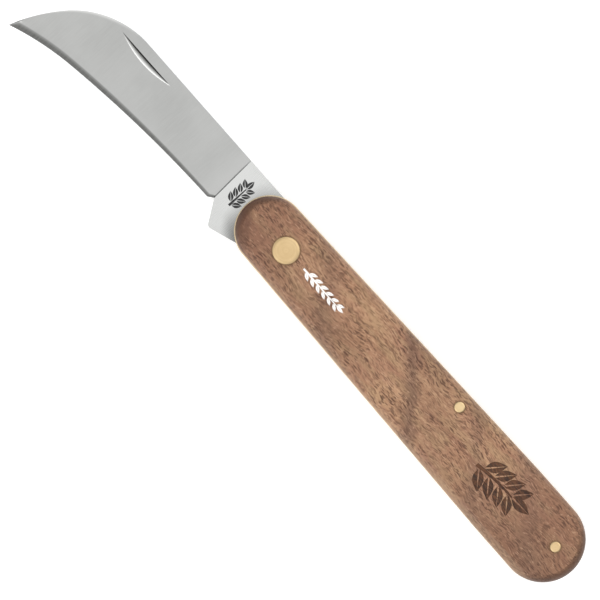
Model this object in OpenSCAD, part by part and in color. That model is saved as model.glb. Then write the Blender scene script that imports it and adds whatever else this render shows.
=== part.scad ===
// Grafting knife: one hooked blade that folds into a riveted walnut handle.
// A back spring holds the blade open and shut. The knife lies on its rear scale.
// Origin: on the pivot axis, in the plane that the knife rests on.
// +X runs from the pivot to the butt, +Y to the back of the handle, +Z up.
// The blade is drawn open, so it points along -X with its cutting edge towards -Y.

/* [Handle] */
// Length of the handle, from its front end to its butt
handle_len = 100; // [84:1:120]
// Distance from the pivot to the front end
front_reach = 12.5; // [11:0.5:15]
// Radius of the front end
front_r = 7.3; // [6.4:0.1:8.6]
// Radius of the butt
butt_r = 8.8; // [7.4:0.1:10.5]
// How far the middle of the front end lies above the pivot
front_lift = 0.17; // [0:0.01:0.4]
// How far the middle of the butt lies above the pivot
butt_lift = 0.35; // [0:0.01:0.6]

/* [Scales and liners] */
// Thickness of each wooden scale
scale_t = 4.2; // [3.5:0.1:5.5]
// Radius that rounds each scale's outer edge
edge_round = 2.2; // [1:0.1:3]
// Thickness of each brass liner
liner_t = 0.9; // [0.6:0.1:1.5]

/* [Rivet and pins] */
// Diameter of the pivot rivet's shank
pivot_d = 3; // [2.5:0.1:3.8]
// Diameter of the rivet's head and of its collar
head_d = 5.65; // [4.7:0.05:6.8]
// Thickness of the head and of the collar
head_t = 1.2; // [0.8:0.1:1.5]
// Diameter of the spring pin and of the butt pin
pin_d = 2.2; // [1.8:0.1:2.7]
// Distance from the pivot to the spring pin, along the handle
spring_pin_x = 47.2; // [44:0.1:50]
// Distance from the back of the handle to the spring pin
spring_pin_inset = 3.1; // [2.6:0.1:3.6]
// Distance from the butt's end to the butt pin
butt_pin_inset = 6.1; // [5:0.1:7]
// How far the butt pin lies above the middle of the butt
butt_pin_lift = 0.9; // [0:0.1:1.5]

/* [Back spring] */
// Thickness of the spring, which keeps the liners apart
spring_t = 2.4; // [2:0.1:2.9]
// Height of the spring's nose above the pivot axis
seat_y = 4.6; // [4.4:0.05:4.8]
// Reach of the nose behind the pivot
nose_len = 6.3; // [5.5:0.1:7]
// Depth of the slim arm behind the nose
arm_t = 2; // [1.6:0.1:2.4]
// Length of the slim arm
arm_len = 14; // [11:0.5:17]
// Depth of the spring at its pin
waist_t = 5.3; // [5:0.1:6]
// Length of that deep stretch
waist_len = 13; // [11:0.5:16]
// Reach of the tail ahead of the butt pin
tail_ahead = 5.6; // [4:0.1:7]

/* [Blade] */
// Height of the blade's spine above the pivot axis
spine_y = 6.8; // [6.5:0.1:7.1]
// How far the tip hangs below the pivot axis
tip_drop = 12; // [10:0.5:14.4]
// Radius of the first bend of the spine towards the tip
bend_r = 20.7; // [18:0.1:24]
// Turn of that first bend in degrees
bend_turn = 53.3; // [48:0.1:57]
// Radius of the spine's last stretch, up to the tip
hook_r = 35.3; // [32:0.1:40]
// Heel of the cutting edge, ahead of the pivot
heel_x = 19; // [18.6:0.1:21]
// Heel of the cutting edge, below the pivot axis
heel_drop = 4.75; // [4:0.05:5.5]
// Thickness of the ground blade at the spine, next to the tang
spine_t = 2.15; // [1.8:0.05:2.25]
// Thickness of the spine at the tip
tip_t = 0.9; // [0.7:0.05:1.2]
// Thickness at the shoulder of the edge bevel
shoulder_t = 0.75; // [0.5:0.05:1]
// Width of the edge bevel at the heel
bevel_heel = 0.8; // [0.6:0.1:1.2]
// Width of the edge bevel at the tip
bevel_tip = 1.7; // [1.3:0.1:2.2]

/* [Tang] */
// How far the cam at the tang's rear lifts the spring's nose
cam_lift = 0.7; // [0.5:0.05:0.9]
// Step that the spring's end stands against, ahead of the pivot
step_x = 4.4; // [4:0.1:5]
// Turn of the blade from open to closed in degrees
close_angle = 169; // [165:0.5:170]
// Distance of the kick ahead of the pivot
kick_x = 13.95; // [13.4:0.05:14.4]
// Radius of the kick
kick_r = 0.9; // [0.7:0.05:1.1]
// Height of the notch between kick and edge, from the kick's lowest point
notch_rise = 4.8; // [4:0.1:5.2]
// Length over which the spine rises to the step
step_rise_len = 3.6; // [3:0.1:4.5]
// Line between the tang and the ground blade, ahead of the pivot
plunge_x = 17.8; // [17.6:0.1:18.4]

/* [Nail nick] */
// Length of the nick
nick_len = 14.7; // [12:0.1:16]
// Width of the nick
nick_w = 1.3; // [1:0.1:2]
// Depth of the nick
nick_depth = 0.45; // [0.3:0.05:0.6]
// Distance from the middle of the nick to the tip, along the blade
nick_to_tip = 23.6; // [22:0.1:28]
// Distance from the spine to the middle of the nick
nick_inset = 2.95; // [2:0.05:3.5]

/* [Clearances] */
// Gap between the pivot rivet and the tang's bore, all round
pivot_gap = 0.05; // [0.03:0.01:0.1]
// Gap on each side of the tang, between the liners
side_gap = 0.05; // [0.03:0.01:0.1]
// Gap between a fixed pin or rivet and its hole, all round
pin_gap = 0.01; // [0.01:0.01:0.03]
// Gap between the spring and the tang where they bear on each other
seat_gap = 0.02; // [0.02:0.01:0.05]
// Room between the spring's nose and the kick's slope when the blade is closed
nose_room = 0.2; // [0.1:0.05:0.4]
// Gap between the closed tip and the spring's tail
tip_room = 2.7; // [1.5:0.1:4]

/* [Hidden] */
$fn = 96;

walnut = [0.62, 0.47, 0.36];
brass = [0.87, 0.76, 0.58];
steel = [0.78, 0.79, 0.8];

// Levels of the stack, from the plane that the knife rests on
z_liner = scale_t;
z_slot = z_liner + liner_t;
z_front_liner = z_slot + spring_t;
z_front_scale = z_front_liner + liner_t;
knife_t = z_front_scale + scale_t;
tang_t = spring_t - 2 * side_gap;
mid_z = knife_t / 2;
cut = 1; // how far cutting shapes run past what they cut
lap = 0.4; // how far joined shapes run into each other
beyond = 2 * butt_r; // reaches past the handle's outline from its middle
smooth = 80; // steps round the handle's ends
arc_steps = 8; // steps along a short arc
cam_steps = 24; // steps round the tang's cam
nick_smooth = 360; // steps round the wheel that cuts the nick

// Handle outline: a disc at each end and the two straight sides that touch both
front_c = [front_r - front_reach, front_lift];
butt_c = [handle_len - front_reach - butt_r, butt_lift];
run = norm(butt_c - front_c);
lean = atan2(butt_c.y - front_c.y, butt_c.x - front_c.x);
flare = asin((butt_r - front_r) / run);
function polar(r, a) = [r * cos(a), r * sin(a)];
back_dir = lean + 90 + flare;
back_start = front_c + polar(front_r, back_dir);
// Height of the handle's back at x, along its straight side
function back_y(x) = back_start.y + (x - back_start.x) * tan(back_dir - 90);

// Places along the handle
spring_pin_at = [spring_pin_x, back_y(spring_pin_x) - spring_pin_inset];
butt_pin_at = [handle_len - front_reach - butt_pin_inset, butt_lift + butt_pin_lift];
tail_x = butt_pin_at.x - tail_ahead;
arm_y = back_y(kick_x) - arm_t;

// Tang: the kick reaches the spring's arm just as the blade is closed
kick_y = (arm_y - seat_gap - kick_r + kick_x * sin(close_angle)) / cos(close_angle);
kick_c = [-kick_x, kick_y];
kick_wall_dir = 210;
kick_slope_dir = 289;
closed_dir = 90 - close_angle;
closed_foot = polar(seat_y, closed_dir);
closed_end = closed_foot + polar(nose_len + nose_room, closed_dir - 90);
cam_r = seat_y + cam_lift;
cam_half = acos(seat_y / cam_r);
step_top = front_c.y + sqrt(pow(front_r, 2) - pow(step_x + front_c.x, 2));
notch_at = [-plunge_x, kick_c.y - kick_r + notch_rise];
plunge_lean = 0.06;
plunge_top = [notch_at.x - plunge_lean * (spine_y - notch_at.y), spine_y];
function arc(c, r, a, b, steps) = [for (i = [0:steps]) c + polar(r, mix(a, b, i / steps))];
function mix(a, b, u) = a + (b - a) * u;

// Spine: straight from the heel, then two bends that end at the tip
blade_reach = tail_x - tip_room;
tip = [-sqrt(pow(blade_reach, 2) - pow(tip_drop, 2)), -tip_drop];
hook_cy = spine_y - bend_r + (bend_r - hook_r) * cos(bend_turn);
hook_c = [tip.x + sqrt(pow(hook_r, 2) - pow(tip.y - hook_cy, 2)), hook_cy];
bend_c = [hook_c.x - (hook_r - bend_r) * sin(bend_turn), spine_y - bend_r];
tip_dir = atan2(tip.y - hook_c.y, tip.x - hook_c.x);
heel = [-heel_x, -heel_drop];
heel_top = plunge_top + [heel.x - notch_at.x, 0];
straight_steps = 10;
bend_steps = 14;
hook_steps = 8;
function all_but_last(list) = [for (i = [0:len(list) - 2]) list[i]];
spine_points = concat(
    [for (i = [0:straight_steps - 1]) mix(heel_top, [bend_c.x, spine_y], i / straight_steps)],
    all_but_last(arc(bend_c, bend_r, 90, 90 + bend_turn, bend_steps)),
    arc(hook_c, hook_r, 90 + bend_turn, tip_dir, hook_steps));
// Length of the spine up to its point i, and that length as a share of the whole
spine_lengths = [for (i = 0, l = 0; i < len(spine_points);
    i = i + 1, l = i < len(spine_points) ? l + norm(spine_points[i] - spine_points[i - 1]) : l) l];
spine_len = spine_lengths[len(spine_lengths) - 1];

// Cutting edge: two hollow arcs whose headings are fixed and whose radii follow the tip
heading_heel = 0.8;
heading_mid = 8.7;
heading_tip = 22.5;
function sweep(a, b) = [sin(a) - sin(b), cos(b) - cos(a)];
arc_a = sweep(heading_heel, heading_mid);
arc_b = sweep(heading_mid, heading_tip);
det = arc_a.x * arc_b.y - arc_a.y * arc_b.x;
edge_r1 = ((tip - heel).x * arc_b.y - (tip - heel).y * arc_b.x) / det;
edge_r2 = (arc_a.x * (tip - heel).y - arc_a.y * (tip - heel).x) / det;
// The arcs' lengths, each as a radius times a turn in degrees
edge_l1 = edge_r1 * (heading_mid - heading_heel);
edge_l2 = edge_r2 * (heading_tip - heading_mid);
// Point of the cutting edge at the share u of its length, from the heel to the tip
function edge_point(u) = let (l = u * (edge_l1 + edge_l2))
    l < edge_l1
        ? heel + edge_r1 * sweep(heading_heel, heading_heel + l / edge_r1)
        : heel + edge_r1 * arc_a + edge_r2 * sweep(heading_mid, heading_mid + (l - edge_l1) / edge_r2);

// Ground blade: rings of five points, each from the spine to the edge and back
function ring(s, e, u) = let (
        bevel = min(mix(bevel_heel, bevel_tip, u), norm(s - e) / 2),
        shoulder = e + bevel * (s - e) / norm(s - e),
        spine_half = mix(spine_t, tip_t, u) / 2,
        shoulder_half = shoulder_t / 2)
    [[s.x, s.y, spine_half], [shoulder.x, shoulder.y, shoulder_half], [e.x, e.y, 0],
        [shoulder.x, shoulder.y, -shoulder_half], [s.x, s.y, -spine_half]];
last = len(spine_points) - 1;
rings = concat(
    [ring(plunge_top + [lap, 0], notch_at + [lap, 2 * lap], 0), ring(plunge_top, notch_at, 0)],
    [for (i = [0:last - 1]) let (u = spine_lengths[i] / spine_len) ring(spine_points[i], edge_point(u), u)]);
sides = 5;
ring_count = len(rings);
blade_points = concat([for (r = rings) each r], [[tip.x, tip.y, 0]]);
// Number of the point k of ring i, counted round
function at(i, k) = i * sides + k % sides;
blade_faces = concat(
    [[for (k = [0:sides - 1]) at(0, sides - 1 - k)]],
    [for (i = [0:ring_count - 2], k = [0:sides - 1]) [at(i, k), at(i, k + 1), at(i + 1, k)]],
    [for (i = [0:ring_count - 2], k = [0:sides - 1]) [at(i, k + 1), at(i + 1, k + 1), at(i + 1, k)]],
    [for (k = [0:sides - 1]) [at(ring_count - 1, k), at(ring_count - 1, k + 1), at(ring_count, 0)]]);

// Nail nick: the wheel that cuts it, and the ground face at its place
nick_wheel_r = (pow(nick_len / 2, 2) + pow(nick_depth, 2)) / (2 * nick_depth);
nick_x = tip.x + nick_to_tip;
nick_u = (heel_top.x - nick_x) / spine_len;
nick_face = mix(mix(spine_t, tip_t, nick_u), shoulder_t, nick_inset / (spine_y + heel_drop)) / 2;

// Flat outline of the handle
module handle_outline() {
    hull() {
        translate(front_c) circle(r = front_r, $fn = smooth);
        translate(butt_c) circle(r = butt_r, $fn = smooth);
    }
}

// Disc with its lower edge rounded
module rounded_disc(r) {
    rotate_extrude($fn = smooth)
        polygon(concat(
            [[0, scale_t], [0, 0]],
            arc([r - edge_round, edge_round], edge_round, -90, 0, arc_steps),
            [[r, scale_t]]));
}

// A scale with its outer face down
module scale_blank() {
    hull() {
        translate(front_c) rounded_disc(front_r);
        translate(butt_c) rounded_disc(butt_r);
    }
}

// Holes for the rivet and the two pins, with a wide hole where a head sits
module rivet_hole() {
    translate([0, 0, -cut]) cylinder(d = pivot_d + 2 * pin_gap, h = knife_t + 2 * cut);
}

module pin_hole(at) {
    translate([at.x, at.y, -cut]) cylinder(d = pin_d + 2 * pin_gap, h = knife_t + 2 * cut);
}

module all_holes() {
    rivet_hole();
    pin_hole(spring_pin_at);
    pin_hole(butt_pin_at);
}

module head_seat() {
    translate([0, 0, -cut]) cylinder(d = head_d + 2 * pin_gap, h = head_t + cut);
}

module rear_scale() {
    color(walnut) difference() {
        scale_blank();
        all_holes();
        head_seat();
    }
}

module front_scale() {
    color(walnut) difference() {
        translate([0, 0, knife_t]) mirror([0, 0, 1]) scale_blank();
        all_holes();
        translate([0, 0, knife_t]) mirror([0, 0, 1]) head_seat();
    }
}

module liner(z) {
    color(brass) difference() {
        translate([0, 0, z]) linear_extrude(liner_t) handle_outline();
        all_holes();
    }
}

module rear_liner() {
    liner(z_liner);
}

module front_liner() {
    liner(z_front_liner);
}

// The spring: nose, slim arm, deep waist at its pin, and a tail that fills the butt
module spring_area() {
    nose_y = seat_y + seat_gap;
    nose_end = seat_gap - step_x;
    waist_y = back_y(spring_pin_x) - waist_t;
    polygon([
        [nose_end, nose_y], [nose_len, nose_y], [nose_len + arm_t, arm_y],
        [nose_len + arm_t + arm_len, arm_y], [spring_pin_x - waist_len / 2, waist_y],
        [spring_pin_x + waist_len / 2, waist_y], [tail_x - tail_ahead, waist_y],
        [tail_x, butt_pin_at.y], [tail_x, -beyond], [handle_len, -beyond],
        [handle_len, beyond], [nose_end, beyond]]);
}

module back_spring() {
    color(steel) difference() {
        translate([0, 0, z_slot])
            linear_extrude(spring_t) intersection() {
                handle_outline();
                spring_area();
            }
        pin_hole(spring_pin_at);
        pin_hole(butt_pin_at);
    }
}

// Flat outline of the tang: step, plunge line, notch, kick, closed flat, cam and open flat
module tang_outline() {
    polygon(concat(
        [[-step_x, seat_y], [-step_x, step_top], [-step_x - step_rise_len, spine_y], plunge_top, notch_at],
        arc(kick_c, kick_r, kick_wall_dir, kick_slope_dir, arc_steps),
        [closed_end],
        arc([0, 0], cam_r, closed_dir + cam_half, 90 - cam_half, cam_steps)));
}

module nick_wheel() {
    translate([nick_x, spine_y - nick_inset + nick_w / 2, mid_z + nick_face - nick_depth + nick_wheel_r])
        rotate([90, 0, 0])
            cylinder(r1 = nick_wheel_r, r2 = nick_wheel_r - nick_depth, h = nick_w, $fn = nick_smooth);
}

module blade() {
    color(steel) difference() {
        union() {
            translate([0, 0, mid_z - tang_t / 2]) linear_extrude(tang_t) tang_outline();
            translate([0, 0, mid_z]) polyhedron(points = blade_points, faces = blade_faces, convexity = 6);
        }
        translate([0, 0, -cut]) cylinder(d = pivot_d + 2 * pivot_gap, h = knife_t + 2 * cut);
        nick_wheel();
    }
}

module pivot_rivet() {
    color(brass) {
        cylinder(d = pivot_d, h = knife_t - head_t);
        translate([0, 0, knife_t - head_t]) cylinder(d = head_d, h = head_t);
    }
}

module rivet_collar() {
    color(brass) difference() {
        cylinder(d = head_d, h = head_t);
        rivet_hole();
    }
}

module through_pin(at) {
    color(brass) translate([at.x, at.y, 0]) cylinder(d = pin_d, h = knife_t);
}

module spring_pin() {
    through_pin(spring_pin_at);
}

module butt_pin() {
    through_pin(butt_pin_at);
}

rear_scale();
rear_liner();
blade();
back_spring();
front_liner();
front_scale();
pivot_rivet();
rivet_collar();
spring_pin();
butt_pin();
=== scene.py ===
# %% [markdown]
# # A grafting knife with a walnut handle
# A grafting knife is a small folding knife for gardeners. One hooked blade turns on a brass
# rivet and folds into a handle of two walnut scales on brass liners, and a steel spring along
# the back holds it open or shut. This lesson dresses the engineering model of the knife for a
# studio picture. Each step builds one piece or one finish, and says why it is made that way.
#
# The engineering model comes first. It is the fixed frame: every place below is worked out
# from it, so that the finished pieces turn and rest exactly as the real ones do.

# %% Load the frame
import math

import bmesh
import bpy
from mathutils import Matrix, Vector
from mathutils.geometry import delaunay_2d_cdt


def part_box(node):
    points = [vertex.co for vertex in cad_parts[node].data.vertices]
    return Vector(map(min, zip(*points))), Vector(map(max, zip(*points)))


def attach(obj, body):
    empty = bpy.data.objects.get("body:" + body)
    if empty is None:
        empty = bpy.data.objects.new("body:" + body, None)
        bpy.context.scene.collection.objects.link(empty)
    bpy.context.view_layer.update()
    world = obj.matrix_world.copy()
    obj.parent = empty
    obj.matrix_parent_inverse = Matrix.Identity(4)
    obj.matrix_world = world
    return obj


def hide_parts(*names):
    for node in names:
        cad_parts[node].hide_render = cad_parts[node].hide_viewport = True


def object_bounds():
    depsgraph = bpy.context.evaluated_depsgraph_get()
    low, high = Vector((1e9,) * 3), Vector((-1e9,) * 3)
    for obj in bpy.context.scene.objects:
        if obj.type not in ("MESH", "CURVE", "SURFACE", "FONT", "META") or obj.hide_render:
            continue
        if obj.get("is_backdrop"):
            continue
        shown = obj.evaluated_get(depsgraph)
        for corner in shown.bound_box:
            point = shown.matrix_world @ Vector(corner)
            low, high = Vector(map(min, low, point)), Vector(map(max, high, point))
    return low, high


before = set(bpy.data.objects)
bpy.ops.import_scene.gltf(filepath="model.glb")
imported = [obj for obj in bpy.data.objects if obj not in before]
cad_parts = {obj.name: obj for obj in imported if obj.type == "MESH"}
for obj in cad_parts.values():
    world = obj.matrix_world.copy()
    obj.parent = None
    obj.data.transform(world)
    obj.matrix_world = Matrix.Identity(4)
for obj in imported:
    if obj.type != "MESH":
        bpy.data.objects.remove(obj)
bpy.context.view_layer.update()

# %% [markdown]
# ## The places and sizes
# The frame is in metres, but a knife maker thinks in millimetres, so the sizes are read from
# the frame in millimetres and turned back when a mesh is made. The origin is on the pivot, +X
# runs to the butt, +Y to the back of the handle, and +Z up to the front scale.

# %% Read the levels and centres in millimetres
MM = 0.001


def box_mm(node):
    """Lowest and highest corner of a part of the frame, in millimetres."""
    low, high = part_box(node)
    return low / MM, high / MM


def middle_mm(node):
    low, high = box_mm(node)
    return (low.x + high.x) / 2, (low.y + high.y) / 2


scale_low, scale_high = box_mm("front_scale")
rear_low, rear_high = box_mm("rear_scale")
blade_low, blade_high = box_mm("blade")
collar_low, collar_high = box_mm("rivet_collar")
pin_low, pin_high = box_mm("spring_pin")
head_radius = collar_high.x
head_height = collar_high.z - collar_low.z
pin_radius = (pin_high.x - pin_low.x) / 2
spring_pin_at = middle_mm("spring_pin")
butt_pin_at = middle_mm("butt_pin")
middle_z = (blade_low.z + blade_high.z) / 2
print("levels", round(rear_high.z, 2), round(scale_low.z, 2), round(scale_high.z, 2))

# %% [markdown]
# ## The camera
# The knife is seen from straight above, turned so that its point is at the upper left and its
# butt at the lower right. A long lens from far away keeps the outline free of perspective, as
# in a catalogue picture. The field of view is given as the width that it covers at the knife.

# %% Place the camera above the knife
CAMERA_HEIGHT = 1.2
KNIFE_LEVEL = 0.010
FIELD_WIDTH = 0.1222
SENSOR_WIDTH = 36
TURN = math.atan2(0.7503, 0.6611)


def add_object(name, data):
    made = bpy.data.objects.new(name, data)
    bpy.context.scene.collection.objects.link(made)
    return made


camera_data = bpy.data.cameras.new("camera")
camera_data.sensor_width = SENSOR_WIDTH
camera_data.lens = SENSOR_WIDTH * (CAMERA_HEIGHT - KNIFE_LEVEL) / FIELD_WIDTH
camera_data.clip_end = 20
camera = add_object("camera", camera_data)
camera.location = (0.00941, -0.00451, CAMERA_HEIGHT)
camera.rotation_euler = (0, 0, TURN)
bpy.context.scene.camera = camera
bpy.context.scene.view_settings.view_transform = "Standard"
print("lens", round(camera_data.lens), "mm")

# %% [markdown]
# ## The studio
# A pale sweep lies under the knife. Polished steel shows what is around it, so the lights are
# large and even: one soft box overhead, which the flat of the blade mirrors, and a long one on
# each side of the handle. The ends of the handle face no light and fall off darker.

# %% Light the studio
def add_soft_box(name, place, size, brightness):
    """A rectangular light of one brightness all over, aimed at the knife."""
    data = bpy.data.lights.new(name, "AREA")
    data.shape = "RECTANGLE"
    data.size, data.size_y = size
    data.energy = math.pi * size[0] * size[1] * brightness
    box = add_object(name, data)
    box.location = place
    box.rotation_euler = (-Vector(place)).to_track_quat("-Z", "Y").to_euler()


add_soft_box("overhead_box", (0, 0, 1.9), (2.2, 2.8), 0.82)
add_soft_box("lower_side_box", (0.1, -1.1, 0.75), (1.3, 0.7), 2.7)
add_soft_box("upper_side_box", (0.1, 1.0, 0.95), (1.3, 0.6), 2.0)

world = bpy.data.worlds.new("studio_air")
bpy.context.scene.world = world
world.use_nodes = True
backdrop_light = world.node_tree.nodes["Background"]
backdrop_light.inputs["Color"].default_value = (0.97, 0.985, 1, 1)
backdrop_light.inputs["Strength"].default_value = 0.60

# %% [markdown]
# ## Node sums as plain expressions
# A finish is a chain of nodes, and most of its links are small sums. One class wraps a node's
# output and turns + - * / into Math nodes, so that a mask reads as `1 - wear`. A second class
# holds a tree and adds any other node, with its settings first and then its sockets. A finish
# is such a tree inside a material.

# %% Wrap sockets, trees and materials
class Wire:
    """One output of a node. Sums on it add Math nodes."""

    def __init__(self, graph, socket):
        self.graph = graph
        self.socket = socket

    def sum(self, operation, *others):
        return self.graph.node("ShaderNodeMath", {"operation": operation}, dict(enumerate((self, *others))))

    def __add__(self, other):
        return self.sum("ADD", other)

    def __sub__(self, other):
        return self.sum("SUBTRACT", other)

    def __rsub__(self, other):
        return self.graph.node("ShaderNodeMath", {"operation": "SUBTRACT"}, {0: other, 1: self})

    def __mul__(self, other):
        return self.sum("MULTIPLY", other)

    def __truediv__(self, other):
        return self.sum("DIVIDE", other)

    __radd__ = __add__
    __rmul__ = __mul__

    def __abs__(self):
        return self.sum("ABSOLUTE")

    def split(self):
        """The three parts of a vector."""
        parts = self.graph.node("ShaderNodeSeparateXYZ", None, {0: self}).socket.node
        return [Wire(self.graph, output) for output in parts.outputs]

    def beside(self, name):
        """Another output of the same node."""
        return Wire(self.graph, self.socket.node.outputs[name])

    def hump(self, centre, width):
        """1 where this value is at the centre, falling softly to 0 over the width."""
        away = (self - centre) / width
        return (away * away * -1).sum("EXPONENT")

    def step(self, start, end):
        """0 before start and 1 after end, with a soft step between."""
        sockets = {"Value": self, "From Min": start, "From Max": end}
        return self.graph.node("ShaderNodeMapRange", {"interpolation_type": "SMOOTHSTEP"}, sockets)


class Graph:
    """A node tree, and a short way to add its nodes."""

    def __init__(self, tree):
        self.tree = tree

    def node(self, kind, settings=None, sockets=None, output=0):
        node = self.tree.nodes.new(kind)
        for name, value in (settings or {}).items():
            if name == "stops":
                self.set_stops(node.color_ramp, value)
            else:
                setattr(node, name, value)
        for name, value in (sockets or {}).items():
            if isinstance(value, Wire):
                self.tree.links.new(value.socket, node.inputs[name])
            else:
                node.inputs[name].default_value = value
        return Wire(self, node.outputs[output]) if node.outputs else None

    def set_stops(self, ramp, stops):
        while len(ramp.elements) < len(stops):
            ramp.elements.new(1)
        for element, (place, colour) in zip(ramp.elements, stops):
            element.position = place
            element.color = colour


class Finish(Graph):
    """A material and its tree."""

    def __init__(self, name):
        self.material = bpy.data.materials.new(name)
        self.material.use_nodes = True
        super().__init__(self.material.node_tree)
        self.tree.nodes.clear()

    def place(self, scale=(1, 1, 1), centre=(0, 0, 0)):
        """Object coordinates in millimetres from a centre, stretched by a scale."""
        coordinates = self.node("ShaderNodeTexCoord", output="Object")
        moved = {"Vector": coordinates, "Location": [-c for c in centre], "Scale": (1000, 1000, 1000)}
        in_mm = self.node("ShaderNodeMapping", {"vector_type": "POINT"}, moved)
        return self.node("ShaderNodeVectorMath", {"operation": "MULTIPLY"}, {0: in_mm, 1: scale})

    def noise(self, vector, detail, roughness=0.5):
        sockets = {"Vector": vector, "Scale": 1.0, "Detail": detail, "Roughness": roughness}
        return self.node("ShaderNodeTexNoise", None, sockets)

    def blend(self, factor, first, second, mode="MIX"):
        """Mixes two colours. The factor may be a number or a wire."""
        settings = {"data_type": "RGBA", "blend_type": mode}
        return self.node("ShaderNodeMix", settings, {0: factor, 6: first, 7: second}, 2)

    def layer(self, colour, *coats):
        """Lays coats over a colour, the first one undermost. A coat is its mask and its colour."""
        for mask, coat in coats:
            colour = self.blend(mask, colour, coat)
        return colour

    def attribute(self, name):
        return self.node("ShaderNodeAttribute", {"attribute_name": name}, None, "Fac")

    def bump(self, height, strength, distance):
        sockets = {"Height": height, "Strength": strength, "Distance": distance}
        return self.node("ShaderNodeBump", None, sockets)

    def close(self, sockets):
        """Adds the surface shader and the output."""
        surface = self.node("ShaderNodeBsdfPrincipled", None, sockets)
        self.node("ShaderNodeOutputMaterial", None, {"Surface": surface})
        return self.material


def paint(red, green, blue):
    """A colour picked on a screen, 0 to 255, as the linear colour that a shader takes."""
    levels = []
    for value in (red, green, blue):
        share = value / 255
        levels.append(share / 12.92 if share <= 0.04045 else ((share + 0.055) / 1.055) ** 2.4)
    return (*levels, 1)


# %% [markdown]
# ## The floor
# The floor is one large plane of matt card just under the knife. A faint mottle keeps it from
# looking like an empty page, and it gives off a little light, as a light table does. It is
# marked as stage, so it isn't part of the knife.

# %% Lay the floor
FLOOR_REACH = 4
FLOOR_LEVEL = -0.0001
floor_finish = Finish("pale_card")
mottle = floor_finish.noise(floor_finish.place((0.02, 0.02, 0.02)), 3)
card = floor_finish.blend(mottle, paint(249, 249, 248), paint(253, 253, 252))
floor_material = floor_finish.close({"Base Color": card, "Roughness": 0.9,
                                     "Emission Color": (1, 1, 1, 1), "Emission Strength": 0.3})

floor_mesh = bpy.data.meshes.new("floor")
sides = ((-1, -1), (1, -1), (1, 1), (-1, 1))
corners = [(x * FLOOR_REACH, y * FLOOR_REACH, FLOOR_LEVEL) for x, y in sides]
floor_mesh.from_pydata(corners, [], [(0, 1, 2, 3)])
floor_mesh.materials.append(floor_material)
floor = add_object("floor", floor_mesh)
floor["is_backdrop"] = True

# %% [markdown]
# ## Meshes from rings and filled faces
# Most pieces of the knife are plates: an outline, a rounded edge and some holes. A ring of
# points for each level and a band of faces between two rings give the edges. The flat faces
# have holes and ornaments in them, so they are filled by a triangulation that keeps every
# given line as an edge. This gives crisp holes, which a boolean cut would do less cleanly.

# %% Helpers that build plates
def arc(centre, radius, start, end, steps):
    """Points on an arc, angles in degrees."""
    points = []
    for i in range(steps + 1):
        turn = math.radians(start + (end - start) * i / steps)
        points.append((centre[0] + radius * math.cos(turn), centre[1] + radius * math.sin(turn)))
    return points


def shares(steps):
    """Equal shares from 0 to 1."""
    return [i / steps for i in range(steps + 1)]


def line(start, end, steps):
    """Points on a straight line, without its two ends."""
    return [(start[0] + (end[0] - start[0]) * s, start[1] + (end[1] - start[1]) * s)
            for s in shares(steps)[1:-1]]


def add_ring(bm, points, height):
    return [bm.verts.new((x * MM, y * MM, height * MM)) for x, y in points]


def join_rings(bm, *rings):
    """A band of faces between each ring and the next."""
    for first, second in zip(rings, rings[1:]):
        for i in range(len(first)):
            j = (i + 1) % len(first)
            bm.faces.new((first[i], first[j], second[j], second[i]))


def is_inside(point, loop):
    """Whether a point lies inside a closed loop, by counting crossings."""
    inside = False
    x, y = point
    for (ax, ay), (bx, by) in zip(loop, loop[1:] + loop[:1]):
        if (ay > y) != (by > y) and x < ax + (y - ay) * (bx - ax) / (by - ay):
            inside = not inside
    return inside


def fill_face(bm, rings, height, marks=()):
    """Fills the flat face inside the first ring, leaving the other rings open as holes.
    A mark is (attribute name, rise, loops): its area is lifted or sunk, with walls round it."""
    loops = [[(v.co.x / MM, v.co.y / MM) for v in ring] for ring in rings]
    known = [v for ring in rings for v in ring]
    all_loops = loops + [loop for mark in marks for loop in mark[2]]
    points = [Vector(p) for loop in all_loops for p in loop]
    edges = []
    first = 0
    for loop in all_loops:
        edges += [(first + i, first + (i + 1) % len(loop)) for i in range(len(loop))]
        first += len(loop)
    flat, _, triangles, origins, _, _ = delaunay_2d_cdt(points, edges, [], 0, 1e-5)
    made = {}

    def vertex(index, area):
        known_here = [o for o in origins[index] if o < len(known)]
        if area < 0 and known_here:
            return known[known_here[0]]
        if (index, area) not in made:
            rise = marks[area][1] if area >= 0 else 0
            x, y = flat[index]
            made[index, area] = bm.verts.new((x * MM, y * MM, (height + rise) * MM))
            if area >= 0:
                made[index, area][bm.verts.layers.float[marks[area][0]]] = 1
        return made[index, area]

    sides = {}
    for triangle in triangles:
        centre = sum((flat[i] for i in triangle), Vector((0, 0))) / 3
        if not is_inside(centre, loops[0]) or any(is_inside(centre, hole) for hole in loops[1:]):
            continue
        areas = [k for k, mark in enumerate(marks) if any(is_inside(centre, loop) for loop in mark[2])]
        area = areas[0] if areas else -1
        bm.faces.new([vertex(i, area) for i in triangle])
        for a, b in zip(triangle, triangle[1:] + triangle[:1]):
            sides.setdefault(frozenset((a, b)), []).append((a, b, area))
    for pair in sides.values():
        if len(pair) == 2 and pair[0][2] != pair[1][2]:
            a, b, area = pair[0]
            other = pair[1][2]
            bm.faces.new((vertex(a, area), vertex(b, area), vertex(b, other), vertex(a, other)))


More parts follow.
